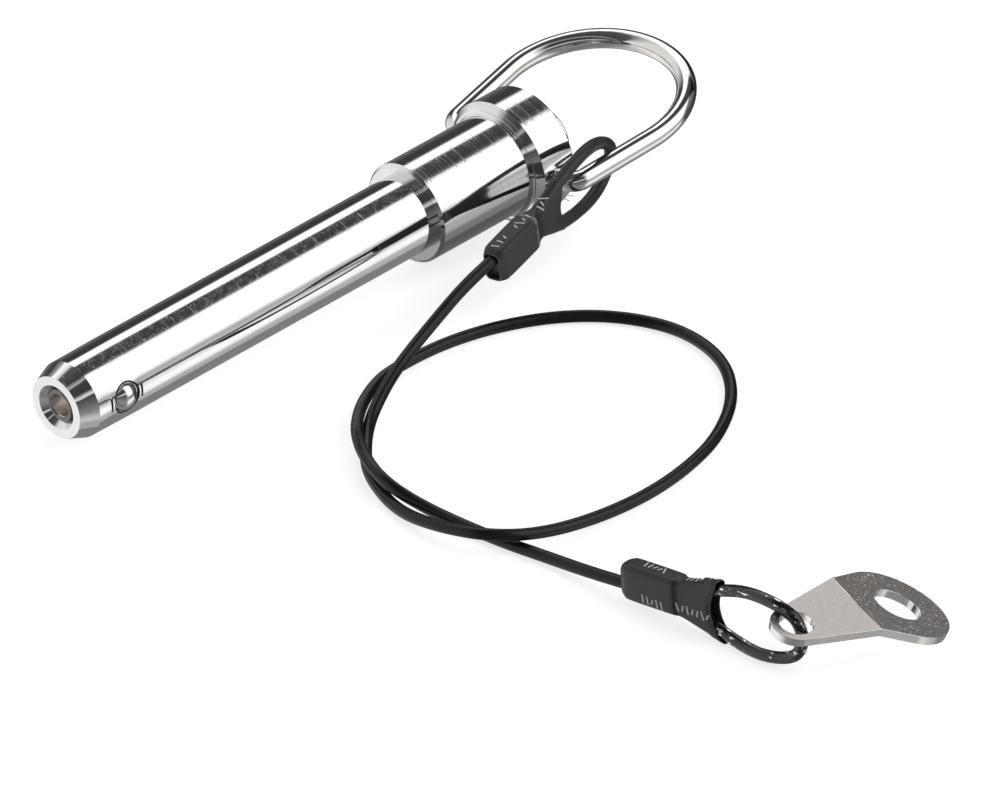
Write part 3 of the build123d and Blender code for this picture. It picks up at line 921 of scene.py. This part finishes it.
# which body each piece rides, and what it stands for
for piece, node, slot in (
    (cablePiece, "lanyard_cable", "cable_black"),
    (tabLoopPiece, "tab_loop", "cable_black"),
    (ringSleeve, "shrink_sleeve_ring_end", "sleeve_black"),
    (tabSleeve, "shrink_sleeve_tab_end", "sleeve_black"),
):
    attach(piece, "lanyard")
    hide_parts(node)
for piece in (ringTicks, tabTicks):
    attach(piece, "lanyard")
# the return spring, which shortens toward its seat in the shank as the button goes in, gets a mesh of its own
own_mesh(crisp["button_spring"])
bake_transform(ringLoopPiece)
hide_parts("ring_loop")


# stage: floor and world
paper = {"half": 6, "colour": (0.8, 0.8, 0.8), "glow": 0.72}
white = (1, 1, 1, 1)


def plainFloor():
    half = paper["half"]
    corners = [(x, y, floorZ) for x, y in ((-half, -half), (half, -half), (half, half), (-half, half))]
    mesh = bpy.data.meshes.new("floor")
    mesh.from_pydata(corners, [], [(0, 1, 2, 3)])
    floor = addObject("floor", mesh)
    floor.visible_glossy = False
    material, tree, shader = newMaterial("floorPaper")
    tree.nodes.remove(shader)
    cameraRay = addNode(tree, "ShaderNodeLightPath").outputs["Is Camera Ray"]
    diffuse = addNode(tree, "ShaderNodeBsdfDiffuse", {"Color": (*paper["colour"], 1)}).outputs[0]
    glow = addNode(tree, "ShaderNodeEmission", {"Color": white, "Strength": paper["glow"]}).outputs[0]
    both = addNode(tree, "ShaderNodeAddShader", {0: diffuse, 1: glow}).outputs[0]
    mix = addNode(tree, "ShaderNodeMixShader", {0: cameraRay, 1: diffuse, 2: both}).outputs[0]
    tree.links.new(mix, tree.nodes["Material Output"].inputs["Surface"])
    mesh.materials.append(material)


# brightness of the studio by the angle round the pin, in degrees from +Y up over the top to -Y
studio = {
    # seen past the head
    "ahead": [
        (0, 0.1), (12, 0.05), (34, 0.05), (42, 1.5), (57.5, 1.5), (63, 0.08), (90, 0.05), (97, 0.12),
        (103, 1.2), (110, 1.5), (164, 1.5), (172, 0.85), (178, 0.45), (186, 0.6), (196, 0.5), (203, 0.9),
        (210, 1.2), (222, 1.1), (230, 0.55), (246, 0.5), (251, 0.24), (312, 0.24), (320, 0.18),
        (346, 0.16), (360, 0.1),
    ],
    # seen past the nose
    "behind": [
        (0, 0.9), (48, 0.85), (58, 0.5), (66, 0.1), (100, 0.05), (110, 0.5), (114, 0.06), (140, 0.05),
        (152, 0.9), (157, 0.06), (185, 0.2), (215, 0.3), (240, 0.2), (275, 0.3), (300, 0.75), (318, 1.0),
        (360, 0.9),
    ],
    # along X, where the one gives way to the other
    "turn": (-0.05, 0.25),
    # from where along X it darkens, to where, and how far
    "farEnd": (0.8, 0.88, 0.12),
    "strength": 1.0,
}


def bandsRound(tree, turn, levels):
    return addRamp(tree, turn, [(degrees / 360, level) for degrees, level in levels])


def studioWorld():
    world = bpy.data.worlds.new("studio")
    world.use_nodes = True
    scene.world = world
    tree = world.node_tree
    way = addNode(tree, "ShaderNodeTexCoord").outputs["Generated"]
    x, y, z = addNode(tree, "ShaderNodeSeparateXYZ", {0: way}).outputs
    turn = compute(tree, "DIVIDE", compute(tree, "ARCTAN2", z, y), 2 * pi)
    turn = addNode(tree, "ShaderNodeMath", {0: turn, 1: 1.0, 2: 0.0}, operation="WRAP").outputs[0]
    ahead, behind = bandsRound(tree, turn, studio["ahead"]), bandsRound(tree, turn, studio["behind"])
    bands = mixed(tree, mapRange(tree, x, *studio["turn"]), behind, ahead)
    low, high, least = studio["farEnd"]
    end = mapRange(tree, x, low, high, 1.0, least)
    bands = addNode(tree, "ShaderNodeVectorMath", {0: bands, "Scale": end}, operation="SCALE").outputs[0]
    cameraRay = addNode(tree, "ShaderNodeLightPath").outputs["Is Camera Ray"]
    feed(tree, tree.nodes["Background"], {
        "Color": mixed(tree, cameraRay, bands, white), "Strength": studio["strength"],
    })


plainFloor()
studioWorld()
scene.view_settings.view_transform = "Standard"
print("studio lit")
